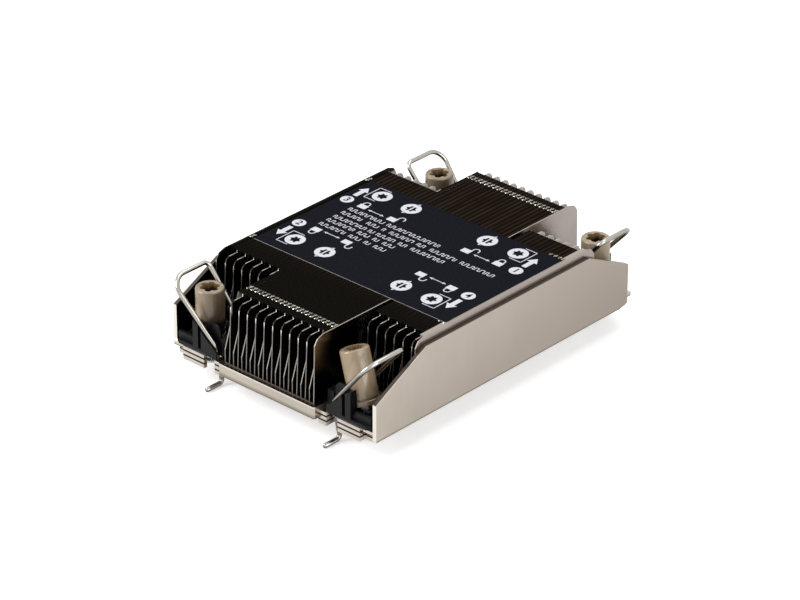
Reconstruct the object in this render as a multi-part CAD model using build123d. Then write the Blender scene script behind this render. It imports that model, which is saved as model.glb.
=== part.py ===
from build123d import *
import math
import os

os.makedirs("parts", exist_ok=True)

# Passive heatsink for a low server: a nickel-plated base carries a zip-fin stack between two side
# plates, and each corner holds a captive plastic nut beside a sprung wire bail that hooks under
# the socket frame. Millimetres. The origin is the middle of the contact face, X runs across the
# width, Y along the air flow and Z up.

# Base plate
BODY_WIDTH = 78.0        # over the outer faces of the side plates
PEDESTAL_LENGTH = 60.0   # contact face along Y
PEDESTAL_WIDTH = 48.0    # contact face along X
PEDESTAL_HEIGHT = 2.8
BASE_THICKNESS = 3.7
WING_LENGTH = 75.2       # full-width part of the base and of the side fins, along Y
TONGUE_TO_NUT = 11.5     # side of the base's narrow ends to the nuts' axes
TONGUE_LENGTH = 112.6
EDGE_BREAK = 0.4

# Fins
FIN_COUNT = 48
FIN_SHEET = 0.3
FIN_HEIGHT = 20.2
FIN_GAP = 0.02           # play between a folded flange and the next fin
TONGUE_LIP = 1.3         # the centre fins keep this far inside the narrow ends
CENTER_FIN_LENGTH = 109.8
FLANGE_SETBACK = 5.6     # the closed top starts this far behind the fin ends
TIP_DROP = 1.0           # a full fin's end stops this far below the closed top
TIP_ROUND = 1.5
END_LEAN = 0.9           # a full fin's end edge leans back this much over its height
KNEE_HEIGHT = 4.2        # a swept fin's end edge is upright up to here
SWEEP_SETBACK = 5.3      # and then runs back this far to the top
TIP_BEVEL = 0.5          # corner cut halfway round a full fin's tip
WALL_CLEARANCE = 0.1     # outer fin wall to side plate

# Side plates: one pressing, turned half round for the other side
PLATE_THICKNESS = 1.3
PLATE_DROP_FROM_TOP = 2.3    # below the fin tops
PLATE_TOP_FRONT = 3.3        # its top edge ends this far inside the wing's ends
PLATE_TOP_REAR = 3.8
PLATE_FRONT = 6.75           # and its ends stand this far beyond the nuts' axes
PLATE_REAR = 3.5
PLATE_FRONT_HEIGHT = 11.4
PLATE_REAR_HEIGHT = 13.2
PLATE_HEEL_LENGTH = 3.2
PLATE_HEEL_RISE = 0.8
PLATE_CENTER_Y = -0.93

# Instruction label
LABEL_LEFT_INSET = 2.4       # inside the outer fin walls
LABEL_RIGHT_INSET = 0.6
LABEL_LENGTH = 48.6
LABEL_THICKNESS = 0.15

# Corners: every size in X and Y is measured from the nut's axis, outwards and towards the end
NUT_INSET = 9.3          # nut axis in from the side plate's outer face
NUT_BEYOND_WING = 9.8    # nut axis beyond the wing's end
ROUND_SIDES = 24         # flats round each small bar and hole

# Corner layers, from the top: floor sheet, spacer, carrier frame
FLOOR_BELOW_BASE_TOP = 1.0
FLOOR_THICKNESS = 1.2
FRAME_THICKNESS = 1.4
LAYER_INSET = 2.0        # lower layers inside the side plates' outer faces
FLOOR_FRONT = 6.6
EAR_FRONT = 7.3
EAR_INNER = -4.4
EAR_OUTER = 3.8
EAR_SHOULDER = 5.2
NOTCH_INNER = -8.5
FRAME_WAIST_DEPTH = 7.7
PEDESTAL_CLEARANCE = 0.3

# Captive nuts
NUT_RADIUS = 4.15
NUT_LENGTH = 15.6
COLLAR_RADIUS = 4.35
COLLAR_HEIGHT = 1.4
GROOVE_RADIUS = 3.7
GROOVE_HEIGHT = 0.5
NUT_SEAT_GAP = 0.3
SOCKET_DEPTH = 3.6
LOBES = 6
LOBE_RADIUS = 2.75
VALLEY_RADIUS = 2.0
TOP_BEVEL = 0.5
INSERT_RADIUS = 2.75
INSERT_BORE_RADIUS = 2.0
INSERT_IN_NUT = 8.5
INSERT_BELOW_NUT = 6.8
INSERT_ROOF = 1.0        # closed end of the thread, inside the nut
RING_GROOVE_DEPTH = 0.3
RING_RADIUS = 3.7
RING_THICKNESS = 0.6
RING_BELOW_NUT = 5.9
SHANK_HOLE_RADIUS = 3.6
RING_HOLE_RADIUS = 5.1
LEAN_ANGLE = 19.3        # the front right nut stands raised and leaning on its float
LEAN_TOWARDS = 169.5     # direction that it leans in, round from +X
LEAN_LIFT = 1.57

# Nut retainers
RETAINER_FLOOR = 1.2
RETAINER_INNER = -10.7
RETAINER_OUTER = 7.2
RETAINER_BACK = -6.4
RETAINER_FRONT = 7.0
RETAINER_NOTCH_X = -4.0
RETAINER_NOTCH_Y = 3.9
RETAINER_CORNER = 1.5
RIM_INNER_RADIUS = 5.6
RIM_WALL = 0.6
RIM_HEIGHT = 1.3
SADDLE_TOP = 8.4         # highest that a post stands over the base
LEG_CLEARANCE = 0.3
SADDLE_POSTS = ((-4.0, -3.0, 4.4), (-1.9, 0.1, 4.6))   # across from, to, and back
GUARD_INNER = -8.9       # thin wall in front of the shank
GUARD_BACK = 6.5
INNER_POST = (-10.7, -8.3, 1.5, 4.4)
INNER_POST_TOP = 4.5
LOW_WALL = (0.7, 6.7, 5.0, 6.0)
LOW_WALL_TOP = 2.3
BEARING_BACK = -3.5
BEARING_FRONT = 3.6
BEARING_RADIUS = 1.4
BEARING_SIDES = 12

# Wire bails
WIRE_RADIUS = 0.65
WIRE_SIDES = 14          # flats round the wire's section
BEND_STEPS = 3           # chords along each bend
PIVOT_X = -7.3
PIVOT_ABOVE_BASE = 2.5
OUTER_LEG_Y = 5.6
INNER_LEG_Y = -6.3
BAIL_X = 7.1
BAIL_RISE = 16.6
BAIL_SPLAY = 2.6         # the outer leg leans out by this much at its top
HOOK_DROP = 12.5
HOOK_TUCK = 2.5          # the shank runs in under the frame by this much
HOOK_FOOT_Y = 9.6
AXLE_END_Y = 1.2
OUTER_BEND = 4.0
INNER_BEND = 1.8
PIVOT_BEND = 1.6
HOOK_BEND = 1.2
AXLE_BEND = 1.3
AXLE_CLEARANCE = 0.05
SLOT_CLEARANCE = 0.5
SLOT_OUTER = -1.5        # as far as the shank swings

# Levels and places that follow
base_bottom = PEDESTAL_HEIGHT
base_top = base_bottom + BASE_THICKNESS
fin_top = base_top + FIN_HEIGHT
plate_outer = BODY_WIDTH / 2
plate_inner = plate_outer - PLATE_THICKNESS
wall_outer = plate_inner - WALL_CLEARANCE
fin_half_span = wall_outer - FIN_SHEET / 2
fin_pitch = 2 * fin_half_span / (FIN_COUNT - 1)
wing_end = WING_LENGTH / 2
nut_x = plate_outer - NUT_INSET
nut_y = wing_end + NUT_BEYOND_WING
tongue_side = nut_x - TONGUE_TO_NUT
first_center_fin = math.ceil((fin_half_span - tongue_side + TONGUE_LIP) / fin_pitch)
last_center_fin = FIN_COUNT - 1 - first_center_fin
layer_side = NUT_INSET - LAYER_INSET
floor_top = base_top - FLOOR_BELOW_BASE_TOP
floor_bottom = floor_top - FLOOR_THICKNESS
seat_top = floor_top + RETAINER_FLOOR
nut_bottom = seat_top + NUT_SEAT_GAP
nut_top = nut_bottom + NUT_LENGTH
pivot_z = base_top + PIVOT_ABOVE_BASE
slot_back = OUTER_LEG_Y - HOOK_TUCK - WIRE_RADIUS
slot_front = OUTER_LEG_Y + SLOT_CLEARANCE
CORNERS = {
    "front_left": (-1, -1),
    "front_right": (1, -1),
    "rear_left": (-1, 1),
    "rear_right": (1, 1),
}


def box_between(x0, x1, y0, y1, z0, z1):
    center = ((x0 + x1) / 2, (y0 + y1) / 2, (z0 + z1) / 2)
    return Pos(*center) * Box(abs(x1 - x0), abs(y1 - y0), abs(z1 - z0))


def rod(radius, z0, z1, x=0.0, y=0.0):
    """An upright round bar or hole, drawn with flats because it is repeated at every corner."""
    return Pos(x, y, z0) * extrude(RegularPolygon(radius, ROUND_SIDES), amount=z1 - z0)


def flat(outline, z0, z1):
    """A plate cut to an outline of (x, y) points."""
    return Pos(0, 0, z0) * extrude(make_face(Polyline(*outline, close=True)), amount=z1 - z0)


def to_corner(shape, side_x, side_y):
    """Place a part drawn round the nut's axis in the rear right corner, or mirror it to another."""
    shape = Pos(nut_x, nut_y, 0) * shape
    if side_x < 0:
        shape = mirror(shape, about=Plane.YZ)
    if side_y < 0:
        shape = mirror(shape, about=Plane.XZ)
    return shape


def save(name, solids):
    solids = list(solids) if isinstance(solids, (list, tuple)) else [solids]
    shape = solids[0] if len(solids) == 1 else Compound(children=solids)
    export_step(shape, f"parts/{name}.step")


# Base

def base_plate():
    wing = box_between(-plate_inner, plate_inner, -wing_end, wing_end, base_bottom, base_top)
    tongue = box_between(-tongue_side, tongue_side, -TONGUE_LENGTH / 2, TONGUE_LENGTH / 2,
                         base_bottom, base_top)
    pedestal = box_between(-PEDESTAL_WIDTH / 2, PEDESTAL_WIDTH / 2,
                           -PEDESTAL_LENGTH / 2, PEDESTAL_LENGTH / 2, 0, base_bottom)
    pedestal = chamfer(pedestal.faces().sort_by(Axis.Z)[0].edges(), EDGE_BREAK)
    tongue = chamfer(tongue.edges().filter_by(Axis.Z), EDGE_BREAK)
    return wing + tongue + pedestal


# Fins

def fin_x(index):
    return -fin_half_span + index * fin_pitch


def half_length(index):
    is_center = first_center_fin <= index <= last_center_fin
    return (CENTER_FIN_LENGTH if is_center else WING_LENGTH) / 2


def mirrored_outline(end):
    """Closes a fin outline from the points of its rear end, listed from the foot up."""
    front = [(-y, z) for y, z in reversed(end)]
    return end + front


def full_end(half):
    """End edge of a full fin: leaning back, rounded at the tip, then one step below the top."""
    tip = fin_top - TIP_DROP
    step = half - FLANGE_SETBACK
    return [
        (half, base_top),
        (half - END_LEAN, tip - TIP_ROUND),
        (half - END_LEAN - TIP_BEVEL, tip - TIP_BEVEL),
        (half - END_LEAN - TIP_ROUND, tip),
        (step, tip),
        (step, fin_top),
    ]


def swept_end(half):
    """End edge of a swept fin: upright to the knee, then running back to the top."""
    return [
        (half, base_top),
        (half, base_top + KNEE_HEIGHT),
        (half - SWEEP_SETBACK, fin_top),
    ]


def wall_end(half):
    """End edge of an end plate: upright with a broken top corner."""
    return [
        (half, base_top),
        (half - END_LEAN / 2, fin_top - TIP_DROP - TIP_ROUND),
        (half - END_LEAN - TIP_ROUND / 2, fin_top - TIP_ROUND / 2),
        (half - END_LEAN - 2 * TIP_ROUND, fin_top),
    ]


def folded_fin(index, end, top_flange):
    """One fin: a web standing along Y with a flange folded towards +X at its foot and top."""
    half = half_length(index)
    x = fin_x(index)
    face = make_face(Polyline(*mirrored_outline(end(half)), close=True))
    web = Plane.YZ.offset(x - FIN_SHEET / 2) * extrude(face, amount=FIN_SHEET)
    x_web = x + FIN_SHEET / 2
    reach = fin_pitch - FIN_SHEET - FIN_GAP
    foot = box_between(x_web, x_web + reach, -half, half, base_top, base_top + FIN_SHEET)
    fin = web + foot
    if top_flange > 0:
        back = half - FLANGE_SETBACK
        fin += box_between(x_web, x_web + top_flange, -back, back, fin_top - FIN_SHEET, fin_top)
    return fin


def plain_fin(index, end):
    next_is_shorter = half_length(index + 1) < half_length(index)
    reach = fin_pitch - FIN_SHEET - FIN_GAP
    is_beside_wall = index + 1 == FIN_COUNT - 1
    return folded_fin(index, end, 0.0 if is_beside_wall or next_is_shorter else reach)


def end_plate(index):
    """A bare plate without folds, closing one side of a fin block."""
    half = half_length(index)
    face = make_face(Polyline(*mirrored_outline(wall_end(half)), close=True))
    return Plane.YZ.offset(fin_x(index) - FIN_SHEET / 2) * extrude(face, amount=FIN_SHEET)


def right_wall():
    """The right wall carries a broad rim folded inwards over the last fin."""
    half = half_length(FIN_COUNT - 1) - END_LEAN - 2 * TIP_ROUND
    last_web = fin_x(FIN_COUNT - 2) + FIN_SHEET / 2
    rim = box_between(last_web + FIN_GAP, wall_outer - FIN_SHEET, -half, half,
                      fin_top - FIN_SHEET, fin_top)
    return end_plate(FIN_COUNT - 1) + rim


def save_fins():
    blocks = {
        "left": range(1, first_center_fin),
        "center": range(first_center_fin, last_center_fin),
        "right": range(last_center_fin + 1, FIN_COUNT - 1),
    }
    for side, indices in blocks.items():
        save(f"{side}_fins_full", [plain_fin(i, full_end) for i in indices if i % 2 == 0])
        save(f"{side}_fins_swept", [plain_fin(i, swept_end) for i in indices if i % 2 == 1])
    save("center_end_fin", end_plate(last_center_fin))
    save("left_outer_wall", end_plate(0))
    save("right_outer_wall", right_wall())


# Side plates

def side_plate():
    """The right plate, its outline drawn in Y and Z and its inner face against the base."""
    plate_top = fin_top - PLATE_DROP_FROM_TOP
    front = -nut_y - PLATE_FRONT
    rear = nut_y + PLATE_REAR
    outline = [
        (front, base_bottom),
        (rear - PLATE_HEEL_LENGTH, base_bottom),
        (rear, base_bottom + PLATE_HEEL_RISE),
        (rear, base_bottom + PLATE_REAR_HEIGHT),
        (wing_end - PLATE_TOP_REAR, plate_top),
        (PLATE_TOP_FRONT - wing_end, plate_top),
        (front, base_bottom + PLATE_FRONT_HEIGHT),
    ]
    face = make_face(Polyline(*outline, close=True))
    return Plane.YZ.offset(plate_inner) * extrude(face, amount=PLATE_THICKNESS)


def turned_half_round(shape):
    return Pos(0, PLATE_CENTER_Y, 0) * Rot(0, 0, 180) * Pos(0, -PLATE_CENTER_Y, 0) * shape


def label():
    return box_between(LABEL_LEFT_INSET - wall_outer, wall_outer - LABEL_RIGHT_INSET,
                       -LABEL_LENGTH / 2, LABEL_LENGTH / 2, fin_top, fin_top + LABEL_THICKNESS)


# Corner layers

def hook_cut(z0, z1):
    """The notch that the hook hangs in and the slot that it swings through."""
    notch = box_between(NOTCH_INNER, EAR_INNER, slot_back, EAR_FRONT + 1, z0, z1)
    slot = box_between(NOTCH_INNER, SLOT_OUTER, slot_back, slot_front, z0, z1)
    return notch + slot


def layer_outline(inner, outer, back, shoulder):
    """Corner outline with the ear standing out in front of its shoulder."""
    return [(inner, back), (outer, back), (outer, shoulder), (EAR_OUTER, shoulder),
            (EAR_OUTER, EAR_FRONT), (inner, EAR_FRONT)]


def corner_floor():
    outline = layer_outline(tongue_side - nut_x, plate_inner - nut_x, -NUT_BEYOND_WING, FLOOR_FRONT)
    sheet = flat(outline, floor_bottom, floor_top)
    sheet -= hook_cut(floor_bottom, floor_top)
    return sheet - rod(SHANK_HOLE_RADIUS, floor_bottom, floor_top)


def corner_spacer():
    outline = layer_outline(tongue_side - nut_x, layer_side, -NUT_BEYOND_WING, EAR_SHOULDER)
    pad = flat(outline, base_bottom, floor_bottom)
    pad -= hook_cut(base_bottom, floor_bottom)
    return pad - rod(RING_HOLE_RADIUS, base_bottom, floor_bottom)


def carrier_frame():
    """Stamped frame under the base, open round the pedestal, with an ear at each corner."""
    bottom = base_bottom - FRAME_THICKNESS
    corner = flat(layer_outline(-nut_x, layer_side, -nut_y, EAR_SHOULDER), bottom, base_bottom)
    corner -= box_between(-nut_x, tongue_side - nut_x, EAR_FRONT - FRAME_WAIST_DEPTH, EAR_FRONT,
                          bottom, base_bottom)
    corner -= hook_cut(bottom, base_bottom)
    corner -= rod(RING_HOLE_RADIUS, bottom, base_bottom)
    corner = Pos(nut_x, nut_y, 0) * corner
    corner -= box_between(0, PEDESTAL_WIDTH / 2 + PEDESTAL_CLEARANCE,
                          0, PEDESTAL_LENGTH / 2 + PEDESTAL_CLEARANCE, bottom, base_bottom)
    right = corner + mirror(corner, about=Plane.XZ)
    return right + mirror(right, about=Plane.YZ)


# Nuts

def star_socket():
    """Six-lobe driver socket sunk into the nut's top."""
    outline = []
    for step in range(4 * LOBES):
        radius = LOBE_RADIUS if step % 4 < 2 else VALLEY_RADIUS
        angle = math.radians((step + 0.5) * 360 / (4 * LOBES))
        outline.append((radius * math.cos(angle), radius * math.sin(angle)))
    return flat(outline, nut_top - SOCKET_DEPTH, nut_top)


def nut():
    body = rod(NUT_RADIUS, nut_bottom + COLLAR_HEIGHT + GROOVE_HEIGHT, nut_top)
    body = chamfer(body.edges().group_by(Axis.Z)[-1], TOP_BEVEL)
    body += rod(GROOVE_RADIUS, nut_bottom, nut_bottom + COLLAR_HEIGHT + GROOVE_HEIGHT)
    body += rod(COLLAR_RADIUS, nut_bottom, nut_bottom + COLLAR_HEIGHT)
    body -= star_socket()
    return body - rod(INSERT_RADIUS, nut_bottom, nut_bottom + INSERT_IN_NUT)


def insert():
    """Metal thread insert moulded into the nut; the socket frame's stud screws into it."""
    bottom = nut_bottom - INSERT_BELOW_NUT
    top = nut_bottom + INSERT_IN_NUT
    sleeve = rod(INSERT_RADIUS, bottom, top) - snap_ring()
    bore_length = top - INSERT_ROOF - bottom
    return sleeve - Pos(0, 0, bottom + bore_length / 2) * Cylinder(INSERT_BORE_RADIUS, bore_length)


def snap_ring():
    """Retaining ring in the insert's groove, which keeps the nut captive under the floor."""
    top = nut_bottom - RING_BELOW_NUT
    bottom = top - RING_THICKNESS
    return rod(RING_RADIUS, bottom, top) - rod(INSERT_RADIUS - RING_GROOVE_DEPTH, bottom, top)


def placed_nut_part(shape, corner):
    side_x, side_y = CORNERS[corner]
    if corner == "front_right":
        middle = (floor_bottom + seat_top) / 2
        lean = Rot(0, 0, LEAN_TOWARDS) * Rot(0, LEAN_ANGLE, 0) * Rot(0, 0, -LEAN_TOWARDS)
        shape = Pos(0, 0, middle) * lean * Pos(0, 0, LEAN_LIFT - middle) * shape
    return Pos(side_x * nut_x, side_y * nut_y, 0) * shape


# Retainers

def leg_height(x):
    """Height of the bail's leg axis above the pivot at a place across its slope."""
    return BAIL_RISE * (x - PIVOT_X) / (BAIL_X - PIVOT_X)


def leg_underside(x):
    slope = math.atan2(BAIL_RISE, BAIL_X - PIVOT_X)
    return pivot_z + leg_height(x) - WIRE_RADIUS / math.cos(slope) - LEG_CLEARANCE


def under_leg(x0, x1, back):
    """A post or wall whose top follows the locked wire's leg."""
    top = base_top + SADDLE_TOP
    outline = [(x0, floor_top), (x1, floor_top), (x1, min(top, leg_underside(x1))),
               (x0, min(top, leg_underside(max(x0, PIVOT_X))))]
    face = make_face(Polyline(*outline, close=True))
    return Plane.XZ.offset(-back) * extrude(face, amount=back - RETAINER_FRONT)


def bearing():
    """The round-topped block that carries the bail's axle."""
    block = box_between(PIVOT_X - BEARING_RADIUS, PIVOT_X + BEARING_RADIUS, BEARING_BACK, BEARING_FRONT,
                        floor_top, pivot_z)
    roof = Pos(PIVOT_X, pivot_z) * RegularPolygon(BEARING_RADIUS, BEARING_SIDES)
    return block + extrude(Plane.XZ.offset(-BEARING_FRONT) * roof, amount=BEARING_FRONT - BEARING_BACK)


def retainer():
    plate = box_between(RETAINER_INNER, RETAINER_OUTER, RETAINER_BACK, RETAINER_FRONT, floor_top, seat_top)
    plate = chamfer(plate.edges().filter_by(Axis.Z).sort_by(Axis.X)[-2:], RETAINER_CORNER)
    rim_top = seat_top + RIM_HEIGHT
    body = plate + rod(RIM_INNER_RADIUS + RIM_WALL, floor_top, rim_top)
    body -= rod(RIM_INNER_RADIUS, seat_top, rim_top)
    body -= box_between(RETAINER_INNER, RETAINER_NOTCH_X, RETAINER_NOTCH_Y, RETAINER_FRONT,
                        floor_top, rim_top)
    body += bearing()
    body += box_between(*INNER_POST, floor_top, base_top + INNER_POST_TOP)
    body += box_between(*LOW_WALL, floor_top, base_top + LOW_WALL_TOP)
    body += under_leg(GUARD_INNER, SADDLE_POSTS[0][0], GUARD_BACK)
    for x0, x1, back in SADDLE_POSTS:
        body += under_leg(x0, x1, back)
    body -= rod(SHANK_HOLE_RADIUS, floor_top, seat_top)
    bore = Plane.XZ.offset(-BEARING_FRONT) * Pos(PIVOT_X, pivot_z) * Circle(WIRE_RADIUS + AXLE_CLEARANCE)
    return body - extrude(bore, amount=BEARING_FRONT - BEARING_BACK)


# Wire bails

def chorded(path):
    """The path with each of its bends as a few chords."""
    points = [path @ 0]
    for edge in path.edges():
        steps = BEND_STEPS if edge.geom_type == GeomType.CIRCLE else 1
        points += [edge @ (step / steps) for step in range(1, steps + 1)]
    return Polyline(*points)


def wire_bail():
    """One round wire: hook foot, shank, outer leg, cross bar, inner leg and axle."""
    hook_z = pivot_z - HOOK_DROP
    top_z = pivot_z + BAIL_RISE
    path = FilletPolyline(
        (PIVOT_X, HOOK_FOOT_Y, hook_z),
        (PIVOT_X, OUTER_LEG_Y - HOOK_TUCK, hook_z),
        (PIVOT_X, OUTER_LEG_Y, pivot_z),
        (BAIL_X, OUTER_LEG_Y + BAIL_SPLAY, top_z),
        (BAIL_X, INNER_LEG_Y, top_z),
        (PIVOT_X, INNER_LEG_Y, pivot_z),
        (PIVOT_X, AXLE_END_Y, pivot_z),
        radius=[HOOK_BEND, PIVOT_BEND, OUTER_BEND, INNER_BEND, AXLE_BEND],
    )
    section = Plane(origin=path @ 0, z_dir=path % 0) * RegularPolygon(WIRE_RADIUS, WIRE_SIDES)
    return sweep(section, path=chorded(path), transition=Transition.RIGHT)


def main():
    save("base_plate", base_plate())
    save_fins()
    save("right_side_plate", side_plate())
    save("left_side_plate", turned_half_round(side_plate()))
    save("label", label())
    save("carrier_frame", carrier_frame())
    for corner, (side_x, side_y) in CORNERS.items():
        save(f"floor_{corner}", to_corner(corner_floor(), side_x, side_y))
        save(f"spacer_{corner}", to_corner(corner_spacer(), side_x, side_y))
        save(f"retainer_{corner}", to_corner(retainer(), side_x, side_y))
        save(f"wire_{corner}", to_corner(wire_bail(), side_x, side_y))
        save(f"nut_{corner}", placed_nut_part(nut(), corner))
        save(f"insert_{corner}", placed_nut_part(insert(), corner))
        save(f"snap_ring_{corner}", placed_nut_part(snap_ring(), corner))


main()
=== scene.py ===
import math
import bpy
from mathutils import Matrix, Vector


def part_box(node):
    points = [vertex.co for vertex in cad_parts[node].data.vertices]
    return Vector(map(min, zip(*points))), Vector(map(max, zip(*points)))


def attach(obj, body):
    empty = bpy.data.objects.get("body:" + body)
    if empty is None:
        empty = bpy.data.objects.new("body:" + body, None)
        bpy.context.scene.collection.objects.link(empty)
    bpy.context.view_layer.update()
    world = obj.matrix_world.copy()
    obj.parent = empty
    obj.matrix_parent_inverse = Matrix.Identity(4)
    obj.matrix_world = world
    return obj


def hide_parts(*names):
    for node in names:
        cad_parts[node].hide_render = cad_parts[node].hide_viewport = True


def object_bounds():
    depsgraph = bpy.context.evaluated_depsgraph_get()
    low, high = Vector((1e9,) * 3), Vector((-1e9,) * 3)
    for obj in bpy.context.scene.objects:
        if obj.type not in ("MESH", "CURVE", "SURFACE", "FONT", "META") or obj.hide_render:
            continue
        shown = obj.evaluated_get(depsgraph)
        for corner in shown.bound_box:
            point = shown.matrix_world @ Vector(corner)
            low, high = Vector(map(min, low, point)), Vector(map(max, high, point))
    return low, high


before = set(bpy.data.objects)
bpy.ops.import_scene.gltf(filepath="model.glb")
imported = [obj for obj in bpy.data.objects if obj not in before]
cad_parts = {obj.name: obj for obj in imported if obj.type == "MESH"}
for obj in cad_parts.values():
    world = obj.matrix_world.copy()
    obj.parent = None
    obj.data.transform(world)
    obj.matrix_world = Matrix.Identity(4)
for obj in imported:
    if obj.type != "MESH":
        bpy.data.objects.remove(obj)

# A passive heatsink for a low server: a zip-fin stack with an instruction label on top, between two
# nickel-plated side plates, with a captive nut and a wire bail at each corner.
MM = 0.001
cad_low, cad_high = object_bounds()
scene = bpy.context.scene
scene.view_settings.view_transform = "Standard"

# Sizes read from the frame, in metres
LABEL_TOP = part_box("label")[1].z
plate_low, plate_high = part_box("right_side_plate")
nut_low, nut_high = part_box("nut_rear_left")
wing_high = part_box("right_fins_full")[1]
center_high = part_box("center_fins_full")[1]
FLOOR_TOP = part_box("floor_rear_right")[1].z
FIN_TOP = center_high.z
FLANGE_SETBACK = 5.6 * MM
FIN_SHEET = 0.3 * MM
FIRST_FIN_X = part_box("left_outer_wall")[0].x + FIN_SHEET / 2
LAST_FIN_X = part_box("right_outer_wall")[1].x - FIN_SHEET / 2
FIN_COUNT = 48
FIN_PITCH = (LAST_FIN_X - FIRST_FIN_X) / (FIN_COUNT - 1)
NUT_X = abs(nut_low.x + nut_high.x) / 2
NUT_Y = abs(nut_low.y + nut_high.y) / 2
CORNERS = {
    "front_left": (-1, -1),
    "front_right": (1, -1),
    "rear_left": (-1, 1),
    "rear_right": (1, 1),
}


# Materials

def linear(hex_code):
    """The linear colour that a shader takes, from an sRGB hex value."""
    parts = [int(hex_code[i:i + 2], 16) / 255 for i in (1, 3, 5)]
    return [c / 12.92 if c <= 0.04045 else ((c + 0.055) / 1.055) ** 2.4 for c in parts] + [1.0]


def output_of(node):
    """The output that a node uses with its present settings."""
    return next(s for s in node.outputs if s.enabled)


def add_node(tree, kind, inputs=None, **settings):
    """Adds one node. An input takes a number, a hex colour, a node or another node's socket."""
    node = tree.nodes.new(kind)
    for name, value in settings.items():
        setattr(node, name, value)
    for name, value in (inputs or {}).items():
        socket = node.inputs[name] if isinstance(name, int) else next(
            s for s in node.inputs if s.enabled and s.name == name)
        if isinstance(value, bpy.types.Node):
            value = output_of(value)
        if isinstance(value, bpy.types.NodeSocket):
            tree.links.new(value, socket)
        else:
            socket.default_value = linear(value) if isinstance(value, str) else value
    return node


class Finish:
    """A material in the making, with the place on the object along X, Y and Z in metres."""

    def __init__(self, name, settings):
        self.material = bpy.data.materials.new(name)
        self.material.use_nodes = True
        self.tree = self.material.node_tree
        self.shader = self.tree.nodes["Principled BSDF"]
        for socket, value in settings.items():
            self.shader.inputs[socket].default_value = value
        self.place = self.add("ShaderNodeTexCoord").outputs["Object"]
        self.x, self.y, self.z = self.add("ShaderNodeSeparateXYZ", {"Vector": self.place}).outputs

    def add(self, kind, inputs=None, **settings):
        return add_node(self.tree, kind, inputs, **settings)

    def feed(self, socket, node):
        """Plugs a node into the shader."""
        self.tree.links.new(output_of(node), self.shader.inputs[socket])

    def grain(self, size, stretch=(1, 1, 1), strength=1.0, detail=3.0):
        """Irregular marks about size metres across, drawn out by the stretch."""
        scale = [1 / (size * share) for share in stretch]
        scaled = self.add("ShaderNodeMapping", {"Vector": self.place, "Scale": scale})
        marks = self.add("ShaderNodeTexNoise", {"Vector": scaled, "Scale": 1.0, "Detail": detail})
        return self.add("ShaderNodeMapRange", {"Value": marks.outputs["Fac"], "From Min": 0.35,
                                               "From Max": 0.65, "To Max": strength})

    def mask(self, value, low, high, strength=1.0, both_sides=False):
        """From 0 to the strength as a value goes from low to high, on both sides of zero if asked."""
        if both_sides:
            value = self.add("ShaderNodeMath", {0: value}, operation="ABSOLUTE")
        return self.add("ShaderNodeMapRange", {"Value": value, "From Min": low, "From Max": high,
                                               "To Max": strength})

    def overlap(self, first, *others):
        """Where all of these masks meet."""
        for other in others:
            first = self.add("ShaderNodeMath", {0: first, 1: other}, operation="MULTIPLY")
        return first

    def facing(self, axis):
        """How squarely the surface faces along an axis, from -1 to 1."""
        normal = self.add("ShaderNodeNewGeometry").outputs["True Normal"]
        return self.add("ShaderNodeSeparateXYZ", {"Vector": normal}).outputs[axis]

    def paint(self, base, *coats):
        """A base colour with coats over it. Each has one or more masks and a colour for where they meet."""
        for *masks, colour in coats:
            base = self.add("ShaderNodeMix", {"Factor": self.overlap(*masks), "A": base, "B": colour},
                            data_type="RGBA")
        self.feed("Base Color", base)

    def polish(self, marks, smooth, rough, relief=0.0, height=0.0):
        """Roughness that follows the marks, and the relief they leave, with its height in metres."""
        self.feed("Roughness", self.add("ShaderNodeMapRange", {"Value": marks, "To Min": smooth,
                                                               "To Max": rough}))
        if relief:
            self.feed("Normal", self.add("ShaderNodeBump", {"Height": marks, "Strength": relief,
                                                            "Distance": height}))


def satin_nickel():
    """Satin nickel on the pressed side plates: warm grey with faint upright rolling marks outside, painted
    darker to the rear as a painted reflection, a painted highlight on the sheared front edge, painted shade
    on the sloped one with a painted highlight along its arris, and painted shade on the inside face."""
    finish = Finish("satin_nickel_plate", {"Metallic": 1.0})
    streaks = finish.grain(0.6 * MM, (1, 1, 40), 0.5)
    clouds = finish.grain(16 * MM, strength=0.5)
    # Painted light: darker to the rear as a painted reflection, painted shade on the inside face, the cut
    # edges and the sloped edge, and painted highlights along the arris and on the front edge
    rear_reflection_shade = finish.mask(finish.y, plate_low.y, plate_high.y)
    inside = finish.mask(finish.x, plate_high.x - 0.6 * MM, plate_high.x - 0.7 * MM, both_sides=True)
    arris = finish.mask(finish.x, plate_high.x - 0.25 * MM, plate_high.x - 0.2 * MM, both_sides=True)
    edge = finish.mask(finish.facing("X"), 0.6, 0.5, both_sides=True)
    slope_shade = finish.overlap(finish.mask(finish.facing("Z"), 0.4, 0.5),
                           finish.mask(finish.facing("Z"), 0.9, 0.85))
    front = finish.mask(finish.facing("Y"), -0.8, -0.9)
    hem = finish.mask(finish.z, plate_low.z + 0.6 * MM, plate_low.z + 0.5 * MM)
    finish.paint("#c6bdb1", (streaks, "#cec5ba"), (clouds, "#b8aea2"), (rear_reflection_shade, "#ada298"),
                 (hem, "#9b958c"), (inside, "#0c0b0b"), (edge, "#5d554d"), (slope_shade, "#231e1b"),
                 (edge, arris, "#dcd5ca"), (front, "#e6e0d6"))
    finish.polish(streaks, 0.3, 0.42, relief=0.12, height=0.01 * MM)
    return finish.material


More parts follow.
